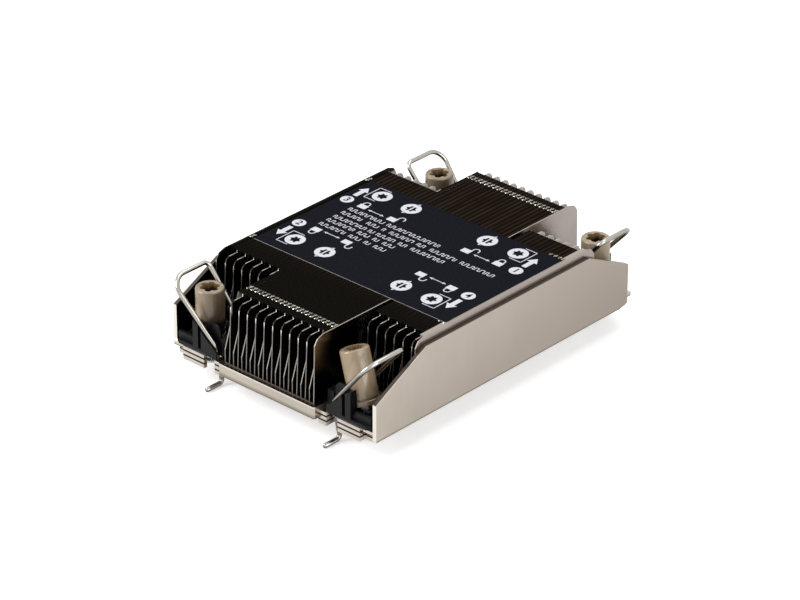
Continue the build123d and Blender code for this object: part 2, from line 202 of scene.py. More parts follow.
def base_nickel():
    """Satin nickel on the machined base: pale, with a painted highlight along the top arris, painted shade
    on its lower edge, and painted shade on the top where the fins stand on it."""
    finish = Finish("satin_nickel_base", {"Metallic": 1.0})
    clouds = finish.grain(9 * MM, (2, 1, 0.5), 0.6)
    low = finish.mask(finish.z, 4.2 * MM, 3.1 * MM)
    high = finish.mask(finish.z, 5.9 * MM, 6.4 * MM)
    upward = finish.mask(finish.facing("Z"), 0.6, 0.8)
    # Painted light: a painted highlight band at the top, and painted shade on the lower edge and on the top
    # face between the fins
    finish.paint("#c3bbae", (clouds, "#b0a79b"), (high, "#e4ddd2"), (low, "#867d74"),
                 (upward, "#4a443e"))
    finish.polish(clouds, 0.26, 0.36)
    return finish.material


LAYER_SEAMS = (2.8 * MM, 4.3 * MM)


def bright_nickel():
    """Bright nickel on the stamped corner layers, pale and slightly pink, dark where one lies on another."""
    finish = Finish("bright_nickel_layers", {"Metallic": 1.0})
    clouds = finish.grain(4 * MM, strength=0.5)
    seams = []
    for height in LAYER_SEAMS:
        offset = finish.add("ShaderNodeMath", {0: finish.z, 1: height}, operation="SUBTRACT")
        seams.append((finish.mask(offset, 0.3 * MM, 0.22 * MM, both_sides=True), "#1b1614"))
    finish.paint("#d3cac0", (clouds, "#b5aaa0"), *seams)
    finish.polish(clouds, 0.2, 0.32)
    return finish.material


def dark_fin_sheet():
    """Thin plated sheet painted near black as the shade of its own gaps, darkest in front, with brown
    painted reflections in bands between the folds to the rear and sides, and the sheared ends left bright."""
    finish = Finish("dark_fin_sheet", {"Specular IOR Level": 0.0})
    shifted = finish.add("ShaderNodeMath", {0: finish.x, 1: FIRST_FIN_X - FIN_SHEET / 2},
                         operation="SUBTRACT")
    steps = finish.add("ShaderNodeMath", {0: shifted, 1: FIN_PITCH}, operation="DIVIDE")
    across = finish.add("ShaderNodeMath", {0: steps}, operation="FRACT")
    fold = finish.mask(across, 0.5, 0.25)
    mottle = finish.grain(7 * MM, (0.3, 2.5, 1))
    fine = finish.grain(0.3 * MM, (1, 1.6, 1))
    front = finish.mask(finish.y, -20 * MM, -30 * MM)
    wing = finish.mask(finish.x, center_high.x, center_high.x + 0.4 * MM, both_sides=True)
    steep = finish.facing("Z")
    upward = finish.mask(steep, 0.5, 0.9)
    side = finish.mask(finish.facing("X"), 0.8, 0.9, both_sides=True)

    # The sheared ends: a bright bulb at each full fin's tip as a painted highlight, then painted shade on
    # its bevel and a painted highlight on the rim behind. The swept edges get a lighter painted highlight,
    # and their tops, the feet and the flange line get painted shade
    sheared = finish.mask(finish.facing("Y"), 0.12, 0.2, both_sides=True)
    rim = finish.overlap(finish.mask(steep, 0.95, 0.98),
                         finish.mask(finish.z, FIN_TOP - 0.4 * MM, FIN_TOP - 0.5 * MM),
                         finish.mask(finish.z, FIN_TOP - 6 * MM, FIN_TOP - 5 * MM))
    bulb = finish.mask(finish.z, FIN_TOP - 4.4 * MM, FIN_TOP - 3.0 * MM)
    bevel = finish.mask(steep, 0.36, 0.42)
    swept = finish.overlap(finish.mask(steep, 0.2, 0.3), finish.mask(steep, 0.36, 0.33))
    swept_top = finish.mask(finish.z, FIN_TOP - 7 * MM, FIN_TOP - 5.5 * MM)
    foot = finish.mask(finish.z, FLOOR_TOP + 2.4 * MM, FLOOR_TOP + 1.4 * MM)
    flange = finish.mask(finish.z, FIN_TOP - 0.34 * MM, FIN_TOP - 0.3 * MM)

    # The left wall's top stands in the open and is painted a little lighter than the folds, as a painted
    # highlight
    wall = finish.overlap(finish.mask(finish.x, FIRST_FIN_X + 0.6 * MM, FIRST_FIN_X + 0.4 * MM),
                          finish.mask(finish.z, FIN_TOP - 2 * MM, FIN_TOP - 1.5 * MM),
                          finish.mask(finish.y, -32 * MM, -30 * MM))

    # A painted highlight on each full fin's side faces near its tip, so that its bulb shows from the side
    # too
    reach = finish.add("ShaderNodeMath", {0: finish.y}, operation="ABSOLUTE")
    tip_line = finish.add("ShaderNodeMix", {"Factor": wing, "A": center_high.y - 0.45 * MM,
                                            "B": wing_high.y - 0.45 * MM})
    tip = finish.add("ShaderNodeMath", {0: reach, 1: tip_line}, operation="GREATER_THAN")
    tip_side_glint = finish.mask(finish.z, FIN_TOP - 5.5 * MM, FIN_TOP - 4.0 * MM)

    # Past the rear flanges the full fins' side faces catch the light from behind
    flange_line = finish.add("ShaderNodeMix", {"Factor": wing, "A": center_high.y - FLANGE_SETBACK,
                                               "B": wing_high.y - FLANGE_SETBACK})
    past = finish.add("ShaderNodeMath", {0: finish.y, 1: flange_line}, operation="GREATER_THAN")
    lit = finish.mask(finish.z, FIN_TOP - 4.4 * MM, FIN_TOP - 3.4 * MM)

    # Painted shade and reflections: near black overall, brown painted reflections on the upward faces of the
    # folds, darkest in front, then painted highlights and shade on the sheared ends
    finish.paint("#080707", (upward, "#221a15"), (upward, mottle, "#30261f"), (upward, fold, "#110e0c"),
                 (front, upward, "#0c0b0b"), (upward, fine, front, "#1b1814"), (sheared, "#86817b"),
                 (sheared, swept, "#98938c"), (sheared, bulb, "#efe9e1"), (sheared, bevel, "#3a3632"),
                 (sheared, foot, "#79726b"), (sheared, flange, "#24201d"), (swept, swept_top, "#0d0c0b"),
                 (rim, "#bdb5ab"), (past, side, lit, "#d8d4d0"), (tip, side, tip_side_glint, "#a8a098"),
                 (wall, "#332d28"))
    finish.feed("Metallic", finish.add("ShaderNodeMath", {0: sheared, 1: rim}, operation="MAXIMUM"))
    finish.polish(fine, 0.36, 0.55)
    return finish.material


def end_sheet():
    """Plated end sheets with painted reflections of what stands beside them: dark in front, warm at the
    front top and pale to the rear, with duller cut edges."""
    finish = Finish("nickel_end_sheet", {"Metallic": 1.0})
    clouds = finish.grain(8 * MM, strength=0.5)
    edge = finish.mask(finish.facing("X"), 0.6, 0.5, both_sides=True)
    front = finish.mask(finish.y, -36 * MM, -38 * MM)
    far_front = finish.mask(finish.y, -48 * MM, -54 * MM)
    high = finish.mask(finish.z, 14 * MM, 22 * MM)
    # Painted reflections: dark in front and warm at the front top
    finish.paint("#aea49e", (clouds, "#9f958e"), (front, "#2b2520"), (far_front, high, "#a58f74"),
                 (edge, "#a29a90"))
    finish.polish(edge, 0.25, 0.6)
    return finish.material


def label_film():
    """Printed polyester film, blue-black with a fine speckle; it has no shine, and its cut edge is pale."""
    finish = Finish("blue_black_label_film", {"IOR": 1.5, "Specular IOR Level": 0.0})
    speckle = finish.grain(0.4 * MM, detail=5.0)
    edge = finish.mask(finish.facing("Z"), 0.6, 0.4)
    finish.paint("#18181e", (speckle, "#222229"), (edge, "#b9b7b5"))
    finish.polish(speckle, 0.45, 0.6)
    return finish.material


def print_ink():
    """Off-white screen ink, a little thin in places."""
    finish = Finish("off_white_screen_ink", {"IOR": 1.45, "Roughness": 0.6, "Specular IOR Level": 0.2})
    finish.paint("#e6e6ec", (finish.grain(0.4 * MM, strength=0.6), "#c3c3cc"))
    return finish.material


def tan_plastic():
    """Unfilled moulded PEEK: tan, slightly waxy, with faint upright flow marks, and painted shade on the
    left nuts' side facing the fins, deepest low down as a painted reflection of the dark stack."""
    finish = Finish("moulded_tan_peek", {"IOR": 1.65, "Roughness": 0.24})
    flow = finish.grain(1.6 * MM, (1, 1, 6))
    below = finish.mask(finish.z, 14 * MM, 12.5 * MM)
    inward_shade = finish.overlap(finish.mask(finish.facing("X"), -0.1, 0.5),
                            finish.mask(finish.x, 0.0, -1 * MM))
    # Painted shade on the left nuts' side facing the fins, and below it a darker painted shade and
    # reflection of the dark stack
    finish.paint("#98846a", (flow, "#ab987e"), (inward_shade, 0.5, "#33281c"), (below, inward_shade, "#1d1712"))
    finish.feed("Normal", finish.add("ShaderNodeBump", {"Height": flow, "Strength": 0.08,
                                                        "Distance": 0.05 * MM}))
    return finish.material


def socket_plastic():
    """The same tan inside the driver socket, mottled and browned with painted shade that deepens towards its
    floor.
    """
    finish = Finish("tan_socket_painted_shade", {"IOR": 1.65, "Specular IOR Level": 0.2})
    socket_mottle = finish.grain(0.8 * MM)
    depth = finish.mask(finish.z, 21.6 * MM, 20.4 * MM)
    # Painted shade: the socket's tan painted browner, mottled, and darker towards its floor
    finish.paint("#8a7050", (socket_mottle, "#6d5639"), (depth, "#2c1f12"))
    finish.polish(socket_mottle, 0.4, 0.6)
    return finish.material


def black_nylon():
    """Glass-filled black nylon with a fine moulded grain."""
    finish = Finish("black_glass_filled_nylon", {"IOR": 1.53, "Specular IOR Level": 0.16})
    grain = finish.grain(0.4 * MM)
    finish.paint("#0a0a0c", (grain, "#151518"))
    finish.polish(grain, 0.32, 0.5, relief=0.2, height=0.02 * MM)
    return finish.material


def spring_wire():
    """Bright drawn spring wire: pale above, with painted shade along its underside, and fine marks along its
    length.
    """
    finish = Finish("bright_drawn_wire", {"Metallic": 1.0})
    marks = finish.grain(0.4 * MM, strength=0.4)
    normal = finish.add("ShaderNodeTexCoord").outputs["Normal"]
    up = finish.add("ShaderNodeSeparateXYZ", {"Vector": normal}).outputs["Z"]
    # Painted shade along the wire's underside, by the way its surface faces
    finish.paint("#bbb7af", (marks, "#98938b"), (finish.mask(up, 0.15, -0.35, 0.85), "#38342f"))
    finish.polish(marks, 0.14, 0.26)
    return finish.material


def zinc_steel():
    """Zinc-plated turned steel for the sleeves and rings, with fine lathe marks."""
    finish = Finish("zinc_plated_steel", {"Metallic": 1.0})
    turned = finish.grain(0.3 * MM, (8, 8, 1), 0.6)
    finish.paint("#cfcfcc", (turned, "#a5a5a2"))
    finish.polish(turned, 0.22, 0.38)
    return finish.material


def interlock_metal():
    """The burnished tips of the fins' interlocks, pale with dull patches."""
    finish = Finish("burnished_interlock_tips", {"Metallic": 1.0, "Roughness": 0.3})
    finish.paint("#c6c3b8", (finish.grain(0.6 * MM), "#625e53"))
    return finish.material


def dress(material, *nodes):
    for name in nodes:
        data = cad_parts[name].data
        data.materials.clear()
        data.materials.append(material)


NICKEL = satin_nickel()
BASE = base_nickel()
LAYERS = bright_nickel()
FINS = dark_fin_sheet()
END_SHEET = end_sheet()
FILM = label_film()
INK = print_ink()
TAN = tan_plastic()
SOCKET = socket_plastic()
NYLON = black_nylon()
WIRE = spring_wire()
ZINC = zinc_steel()
TIPS = interlock_metal()

dress(NICKEL, "left_side_plate", "right_side_plate")
dress(BASE, "base_plate")
dress(LAYERS, "carrier_frame")
dress(FINS, "left_fins_full", "center_fins_full", "right_fins_full", "left_fins_swept",
      "center_fins_swept", "right_fins_swept", "left_outer_wall")
dress(END_SHEET, "center_end_fin", "right_outer_wall")
dress(FILM, "label")
for corner in CORNERS:
    dress(LAYERS, f"floor_{corner}", f"spacer_{corner}")
    dress(NYLON, f"retainer_{corner}")
    dress(ZINC, f"insert_{corner}", f"snap_ring_{corner}")


# Meshes

def new_object(name, data):
    made = bpy.data.objects.new(name, data)
    scene.collection.objects.link(made)
    return made


def new_piece(name, vertices, faces, material, body, smooth=False):
    mesh = bpy.data.meshes.new(name)
    mesh.from_pydata(vertices, [], faces)
    mesh.materials.append(material)
    mesh.validate()
    for polygon in mesh.polygons:
        polygon.use_smooth = smooth
    piece = new_object(name, mesh)
    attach(piece, body)
    return piece


def evaluated_mesh(source):
    """The plain mesh that an object amounts to. The object is removed."""
    bpy.context.view_layer.update()
    mesh = bpy.data.meshes.new_from_object(source.evaluated_get(bpy.context.evaluated_depsgraph_get()))
    bpy.data.objects.remove(source)
    return mesh


def corner_faces(faces, side_x, side_y):
    """Faces that still point outwards after their corner was mirrored."""
    return [tuple(reversed(face)) for face in faces] if side_x * side_y < 0 else faces


def ring_faces(count, rings):
    """Faces of a closed tube made of rings of points, with both ends capped."""
    faces = []
    for ring in range(rings - 1):
        for step in range(count):
            a = ring * count + step
            b = ring * count + (step + 1) % count
            faces.append((a, b, b + count, a + count))
    faces.append(tuple(reversed(range(count))))
    faces.append(tuple(range(count * (rings - 1), count * rings)))
    return faces


# Label print, laid on the film. Sizes in millimetres on the label, X along its length.
INK_HEIGHT = 0.02
DISC_RADIUS = 3.0
NUMBER_RADIUS = 2.05
NUMBER_SIZE = 3.4
NUMBER_BOLDNESS = 0.06
STAR_TIP = 1.75
STAR_VALLEY = 1.1
STAR_POINTS = 6
DISC_STEPS = 48
ARC_STEPS = 14
LINE_WIDTH = 0.28
POINTER = ((-0.5, 2.85), (0.7, 2.76), (0.5, 3.8))
POINTER_WIDTH = 0.5
SHAFT_WIDTH = 1.6
HEAD_WIDTH = 3.6
HEAD_LENGTH = 2.6
BARB_LENGTH = 1.2
BARB_HEIGHT = 0.5
BARB_OVERLAP = 0.2
LOCK_WIDTH = 3.0
LOCK_HEIGHT = 2.2
SHACKLE_RADIUS = 1.0
SHACKLE_LEG = 0.7
SHACKLE_WIDTH = 0.36
SHACKLE_SHIFT = 2.2
BRACKET_REACH = 3.9
BRACKET_HALF = 3.6
BRACKET_ARM = 4.2
ink_vertices = []
ink_faces = []


def ink_face(points):
    start = len(ink_vertices)
    ink_vertices.extend(Vector((x * MM, y * MM, LABEL_TOP + INK_HEIGHT * MM)) for x, y in points)
    ink_faces.append(list(range(start, start + len(points))))


def ink_bar(x0, y0, x1, y1, width):
    """A straight stroke between two points."""
    along = Vector((x1 - x0, y1 - y0)).normalized()
    side = Vector((-along.y, along.x)) * width / 2
    ink_face([(x0 - side.x, y0 - side.y), (x1 - side.x, y1 - side.y),
              (x1 + side.x, y1 + side.y), (x0 + side.x, y0 + side.y)])


def ink_ring(x, y, steps, inner, outer, start=0, end=360):
    """The field between two outlines round a point, each given as a radius by its angle."""
    for step in range(steps):
        a, b = (math.radians(start + (end - start) * s / steps) for s in (step, step + 1))
        ink_face([(x + radius(angle) * math.cos(angle), y + radius(angle) * math.sin(angle))
                  for radius, angle in ((inner, a), (outer, a), (outer, b), (inner, b))])


def star_radius(angle):
    """Outline of the six-pointed drive symbol."""
    phase = (angle * STAR_POINTS / (2 * math.pi)) % 1.0
    return STAR_VALLEY + (STAR_TIP - STAR_VALLEY) * abs(2 * phase - 1)


def ink_star_disc(x, y, pointed):
    """A disc with the drive symbol left open in it, and for a turning nut a pointer at each side."""
    ink_ring(x, y, DISC_STEPS, star_radius, lambda angle: DISC_RADIUS)
    if pointed:
        for sign in (-1, 1):
            ink_face([(x + sign * tip_x, y + sign * tip_y) for tip_x, tip_y in POINTER])
        ink_bar(x, y - STAR_VALLEY, x, y + STAR_VALLEY, POINTER_WIDTH)


def ink_block_arrow(x, y0, y1):
    """A block arrow along Y, from its tail to its tip."""
    neck = y1 - math.copysign(HEAD_LENGTH, y1 - y0)
    shaft, head = SHAFT_WIDTH / 2, HEAD_WIDTH / 2
    ink_face([(x - shaft, y0), (x + shaft, y0), (x + shaft, neck), (x - shaft, neck)])
    ink_face([(x - head, neck), (x + head, neck), (x, y1)])


def ink_double_arrow(x0, x1, y):
    inset = BARB_LENGTH - BARB_OVERLAP
    ink_bar(x0 + inset, y, x1 - inset, y, LINE_WIDTH)
    ink_face([(x0, y), (x0 + BARB_LENGTH, y - BARB_HEIGHT), (x0 + BARB_LENGTH, y + BARB_HEIGHT)])
    ink_face([(x1, y), (x1 - BARB_LENGTH, y + BARB_HEIGHT), (x1 - BARB_LENGTH, y - BARB_HEIGHT)])


def ink_padlock(x, y, way, is_open):
    """A padlock symbol whose shackle points along way times Y."""
    side, end = LOCK_WIDTH / 2, LOCK_HEIGHT / 2
    ink_face([(x - side, y - end), (x + side, y - end), (x + side, y + end), (x - side, y + end)])
    foot = y + way * end
    bow = foot + way * SHACKLE_LEG
    middle = x + SHACKLE_SHIFT if is_open else x
    for leg_x in (middle - SHACKLE_RADIUS, middle + SHACKLE_RADIUS):
        ink_bar(leg_x, foot, leg_x, bow, SHACKLE_WIDTH)
    inner, outer = SHACKLE_RADIUS - SHACKLE_WIDTH / 2, SHACKLE_RADIUS + SHACKLE_WIDTH / 2
    ink_ring(middle, bow, ARC_STEPS, lambda angle: inner, lambda angle: outer, 0, 180 * way)


def ink_bracket(x, y, way_x):
    """Three sides of a square round a disc, open towards the label's middle."""
    spine = x + way_x * BRACKET_REACH
    for arm in (y - BRACKET_HALF, y + BRACKET_HALF):
        ink_bar(spine, arm, spine - way_x * BRACKET_ARM, arm, LINE_WIDTH)
    ink_bar(spine, y - BRACKET_HALF, spine, y + BRACKET_HALF, LINE_WIDTH)


def ink_number(figure, x, y):
    """A disc with a figure left dark on it."""
    for step in range(DISC_STEPS):
        a, b = (2 * math.pi * s / DISC_STEPS for s in (step, step + 1))
        ink_face([(x, y), (x + NUMBER_RADIUS * math.cos(a), y + NUMBER_RADIUS * math.sin(a)),
                  (x + NUMBER_RADIUS * math.cos(b), y + NUMBER_RADIUS * math.sin(b))])
    curve = bpy.data.curves.new(f"figure_{figure}", "FONT")
    curve.body = str(figure)
    curve.size = NUMBER_SIZE * MM
    curve.align_x = "CENTER"
    curve.align_y = "CENTER"
    curve.offset = NUMBER_BOLDNESS * MM
    mesh = evaluated_mesh(new_object(f"figure_{figure}", curve))
    mesh.transform(Matrix.Translation((x * MM, y * MM, LABEL_TOP + 2 * INK_HEIGHT * MM)))
    mesh.materials.clear()
    mesh.materials.append(FILM)
    piece = new_object(f"figure_{figure}", mesh)
    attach(piece, "heatsink")


# Each corner of the label: its side in X and Y and its figure
LABEL_CORNERS = (
    (-1, 1, 3),
    (-1, -1, 2),
    (1, 1, 1),
    (1, -1, 4),
)

# The marks of a corner, measured from the middle of them all
MARK_CENTER_X = -0.45
MARK_CENTER_Y = 0.95
STAR_AT = (25.7, 18.0)
TURN_AT = (14.4, 17.9)
ARROW_X = 31.9
ARROW_TAIL_Y = 13.0
ARROW_TIP_Y = 19.2
NUMBER_AT = (31.9, 9.9)
LOCKED_AT = (25.5, 9.6)
UNLOCKED_AT = (14.0, 9.4)
SWING_START = (16.9, 9.1)
SWING_END = (23.0, 9.1)


def label_corner(side_x, side_y, figure):
    def at(place):
        return MARK_CENTER_X + side_x * place[0], MARK_CENTER_Y + side_y * place[1]

    ink_star_disc(*at(STAR_AT), pointed=False)
    ink_star_disc(*at(TURN_AT), pointed=True)
    ink_bracket(*at(STAR_AT), side_x)
    arrow_x, tail_y = at((ARROW_X, ARROW_TAIL_Y))
    ink_block_arrow(arrow_x, tail_y, at((ARROW_X, ARROW_TIP_Y))[1])
    ink_number(figure, *at(NUMBER_AT))
    ink_padlock(*at(LOCKED_AT), side_y, is_open=False)
    ink_padlock(*at(UNLOCKED_AT), side_y, is_open=True)
    (start_x, swing_y), (end_x, _) = sorted((at(SWING_START), at(SWING_END)))
    ink_double_arrow(start_x, end_x, swing_y)


# Fine print as rows of square waves: each row's place on the label and the lengths of its waves
PRINT_ROWS = (
    (7.1, (13.5, 19.5)),
    (4.1, (8.5, 4.5, 1.6, 9.0, 3.6, 10.0, 12.5)),
    (0.9, (12.0, 1.8, 7.0, 3.4, 12.5)),
    (-1.9, (10.5, 4.5, 2.4, 4.5)),
    (-5.0, (10.0, 4.5, 2.4, 4.0)),
)
ROW_START = -27.9
WAVE_GAP = 1.3
WAVE_HEIGHT = 1.7
WAVE_STROKE = 0.27
WAVE_STEPS = (0.7, 1.05, 0.85, 1.3, 0.75)


def ink_wave(x, y, length):
    """A square wave of uneven steps."""
    half = (WAVE_HEIGHT - WAVE_STROKE) / 2
    end = x + length
    turn = 0
    while x < end:
        step = WAVE_STEPS[turn % len(WAVE_STEPS)]
        ink_bar(x, y - half, x, y + half, WAVE_STROKE)
        if x + step < end:
            rail = y - half if turn % 2 else y + half
            ink_bar(x + WAVE_STROKE / 2, rail, x + step - WAVE_STROKE / 2, rail, WAVE_STROKE)
        x += step
        turn += 1


for side_x, side_y, figure in LABEL_CORNERS:
    label_corner(side_x, side_y, figure)
for row_y, lengths in PRINT_ROWS:
    row_x = ROW_START
    for length in lengths:
        ink_wave(row_x, row_y, length)
        row_x += length + WAVE_GAP
ink = new_piece("label_print", ink_vertices, ink_faces, INK, "heatsink")


# Wire bails: smooth round wire along the frame's route, each point X, Y, Z and the radius of its bend
WIRE_RADIUS = 0.7
WIRE_STEPS = 20
WIRE_END_BEVEL = 0.35
BEND_STEPS = 10
PIVOT_X = 22.4
PIVOT_Z = 9.0
OUTER_LEG_Y = 53.0
INNER_LEG_Y = 41.1
BAIL_X = 36.8
BAIL_Z = 25.6
BAIL_SPLAY = 2.6
HOOK_Z = -3.5
HOOK_TUCK_Y = 50.5
HOOK_FOOT_Y = 57.0
AXLE_END_Y = 48.6
WIRE_ROUTE = (
    (PIVOT_X, HOOK_FOOT_Y, HOOK_Z, 0.0),
    (PIVOT_X, HOOK_TUCK_Y, HOOK_Z, 1.2),
    (PIVOT_X, OUTER_LEG_Y, PIVOT_Z, 1.6),
    (BAIL_X, OUTER_LEG_Y + BAIL_SPLAY, BAIL_Z, 4.4),
    (BAIL_X, INNER_LEG_Y, BAIL_Z, 1.8),
    (PIVOT_X, INNER_LEG_Y, PIVOT_Z, 1.3),
    (PIVOT_X, AXLE_END_Y, PIVOT_Z, 0.0),
)


def rounded_route(route):
    """Points of a route whose corners are rounded to the radius that each carries."""
    points = [Vector(route[0][:3])]
    for before, corner, after in zip(route, route[1:], route[2:]):
        middle = Vector(corner[:3])
        to_before = (Vector(before[:3]) - middle).normalized()
        to_after = (Vector(after[:3]) - middle).normalized()
        half = to_before.angle(to_after) / 2
        centre = middle + (to_before + to_after).normalized() * corner[3] / math.sin(half)
        start = middle + to_before * corner[3] / math.tan(half)
        end = middle + to_after * corner[3] / math.tan(half)
        for step in range(BEND_STEPS + 1):
            chord = start.lerp(end, step / BEND_STEPS)
            points.append(centre + (chord - centre).normalized() * corner[3])
    points.append(Vector(route[-1][:3]))
    return points


def tube(points, radius, steps):
    """A round closed tube along points, its ends finished with a small bevel."""
    bevel = radius * WIRE_END_BEVEL
    lead = points[0] + (points[1] - points[0]).normalized() * bevel
    tail = points[-1] + (points[-2] - points[-1]).normalized() * bevel
    stations = [(points[0], radius - bevel), (lead, radius)] + [(p, radius) for p in points[1:-1]]
    stations += [(tail, radius), (points[-1], radius - bevel)]
    side = None
    vertices = []
    for index, (point, size) in enumerate(stations):
        ahead = stations[min(index + 1, len(stations) - 1)][0]
        behind = stations[max(index - 1, 0)][0]
        along = (ahead - behind).normalized()
        if side is None:
            side = along.orthogonal()
        side = (side - along * side.dot(along)).normalized()
        up = along.cross(side)
        for step in range(steps):
            angle = 2 * math.pi * step / steps
            vertices.append(point + (side * math.cos(angle) + up * math.sin(angle)) * size)
    return vertices, ring_faces(steps, len(stations))


def wire(corner, side_x, side_y):
    vertices, faces = tube(rounded_route(WIRE_ROUTE), WIRE_RADIUS, WIRE_STEPS)
    placed = [Vector((v.x * side_x, v.y * side_y, v.z)) * MM for v in vertices]
    faces = corner_faces(faces, side_x, side_y)
    piece = new_piece(f"round_wire_{corner}", placed, faces, WIRE, f"bail_{corner}", smooth=True)
    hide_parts(f"wire_{corner}")


# Captive nuts: turned outline and star socket, each point a radius and a height
NUT_STEPS = 96
SOCKET_LOBE = 2.8
SOCKET_VALLEY = 2.0
SOCKET_ROUNDNESS = 0.9
SHARP_ANGLE = math.radians(40)
LEANING_CORNER = "front_right"
LEAN_ANGLE = math.radians(19.3)
LEAN_TOWARDS = math.radians(169.5)
LEAN_LIFT = 1.57
LEAN_PIVOT_Z = 5.5
NUT_SECTION = (
    (2.75, 15.5), (2.75, 7.0), (4.2, 7.0), (4.35, 7.15), (4.35, 8.25), (4.2, 8.4), (3.7, 8.4), (3.7, 8.9),
    (4.0, 8.9), (4.15, 9.05), (4.15, 22.1), (4.08, 22.35), (3.9, 22.53), (3.65, 22.6),
)
SOCKET_SECTION = ((0.12, 22.6), (0.0, 22.45), (0.0, 19.0))


def socket_radius(angle):
    """Six rounded lobes of the driver socket, with sharp ridges between them."""
    return SOCKET_VALLEY + (SOCKET_LOBE - SOCKET_VALLEY) * abs(math.cos(3 * angle)) ** SOCKET_ROUNDNESS


def nut(corner, side_x, side_y):
    angles = [2 * math.pi * step / NUT_STEPS for step in range(NUT_STEPS)]
    rings = [[(r, z)] * NUT_STEPS for r, z in NUT_SECTION]
    rings += [[(socket_radius(a) + widen, z) for a in angles] for widen, z in SOCKET_SECTION]
    vertices = [Vector((r * math.cos(a), r * math.sin(a), z))
                for ring in rings for (r, z), a in zip(ring, angles)]
    place = Matrix.Translation((side_x * NUT_X, side_y * NUT_Y, 0)) @ Matrix.Scale(MM, 4)
    if corner == LEANING_CORNER:
        lean = (Matrix.Rotation(LEAN_TOWARDS, 4, "Z") @ Matrix.Rotation(LEAN_ANGLE, 4, "Y")
                @ Matrix.Rotation(-LEAN_TOWARDS, 4, "Z"))
        place = (place @ Matrix.Translation((0, 0, LEAN_PIVOT_Z)) @ lean
                 @ Matrix.Translation((0, 0, LEAN_LIFT - LEAN_PIVOT_Z)))
    faces = ring_faces(NUT_STEPS, len(rings))
    piece = new_piece(f"star_nut_{corner}", [place @ v for v in vertices], faces, TAN,
                      f"captive_nut_{corner}", smooth=True)
    piece.data.set_sharp_from_angle(angle=SHARP_ANGLE)
    piece.data.materials.append(SOCKET)
    for polygon in piece.data.polygons[len(NUT_SECTION) * NUT_STEPS:]:
        polygon.material_index = 1
    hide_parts(f"nut_{corner}")


# Retainer web: a thin arched wall between the saddle posts and the nut, from the nut's axis in millimetres
WEB_INNER = -8.0
WEB_OUTER = 0.1
WEB_BOTTOM = 6.6
WEB_TOP = 14.6
WEB_RISE = 1.2
WEB_CORNER = 2.6
WEB_STEPS = 8
WEB_INNER_Y = (3.55, 4.15)
WEB_OUTER_Y = (4.45, 4.85)


def web(corner, side_x, side_y):
    outline = [(WEB_OUTER, WEB_BOTTOM), (WEB_OUTER, WEB_TOP - WEB_RISE)]
    for step in range(WEB_STEPS + 1):
        angle = math.radians(90 + 90 * step / WEB_STEPS)
        outline.append((WEB_INNER + WEB_CORNER * (1 + math.cos(angle)),
                        WEB_TOP - WEB_CORNER * (1 - math.sin(angle))))
    outline.append((WEB_INNER, WEB_BOTTOM))
    vertices = []
    for inner_y, outer_y in zip(WEB_INNER_Y, WEB_OUTER_Y):
        for x, z in outline:
            share = (x - WEB_INNER) / (WEB_OUTER - WEB_INNER)
            y = inner_y + (outer_y - inner_y) * share
            vertices.append((side_x * (NUT_X + x * MM), side_y * (NUT_Y + y * MM), z * MM))
    faces = corner_faces(ring_faces(len(outline), 2), side_x, side_y)
    piece = new_piece(f"retainer_web_{corner}", vertices, faces, NYLON, "heatsink")


for corner, (side_x, side_y) in CORNERS.items():
    wire(corner, side_x, side_y)
    nut(corner, side_x, side_y)
    web(corner, side_x, side_y)


# Fin interlocks: rows of burnished tabs across the folded tops, one set of five to each fin. The outlines
# are in millimetres, seen from above.
INTERLOCK_INSET = 9.3 * MM
TAB_RISE = 0.12 * MM
TAB_SCALE = 0.86
TAB_TAPER = 0.75
TAB_OUTLINES = (
    ((-0.62, -1.15), (-0.1, -1.2), (-0.02, -0.35), (-0.5, -0.5)),
    ((0.05, -0.75), (0.6, -1.05), (0.55, -0.55), (0.2, -0.25)),
    ((-0.25, -0.3), (0.3, -0.2), (0.25, 0.3), (-0.3, 0.2)),
    ((-0.55, 0.5), (-0.15, 0.3), (-0.05, 0.75), (-0.6, 1.05)),
    ((0.05, 0.35), (0.5, 0.5), (0.62, 1.15), (0.1, 1.2)),
)


def interlock_set():
    """One fin's set of tabs, each raised a little and tapered upwards."""
    vertices = []
    faces = []
    for outline in TAB_OUTLINES:
        start = len(vertices)
        low = [Vector((x * TAB_SCALE * MM, y * TAB_SCALE * MM, 0.0)) for x, y in outline]
        middle = sum(low, Vector()) / len(low)
        vertices += low
        vertices += [middle.lerp(v, TAB_TAPER) + Vector((0, 0, TAB_RISE)) for v in low]
        faces += [(start + i, start + (i + 1) % 4, start + (i + 1) % 4 + 4, start + i + 4) for i in range(4)]
        faces.append(tuple(range(start + 4, start + 8)))
        faces.append(tuple(reversed(range(start, start + 4))))
    mesh = bpy.data.meshes.new("interlock_set")
    mesh.from_pydata(vertices, [], faces)
    return new_object("interlock_set", mesh)


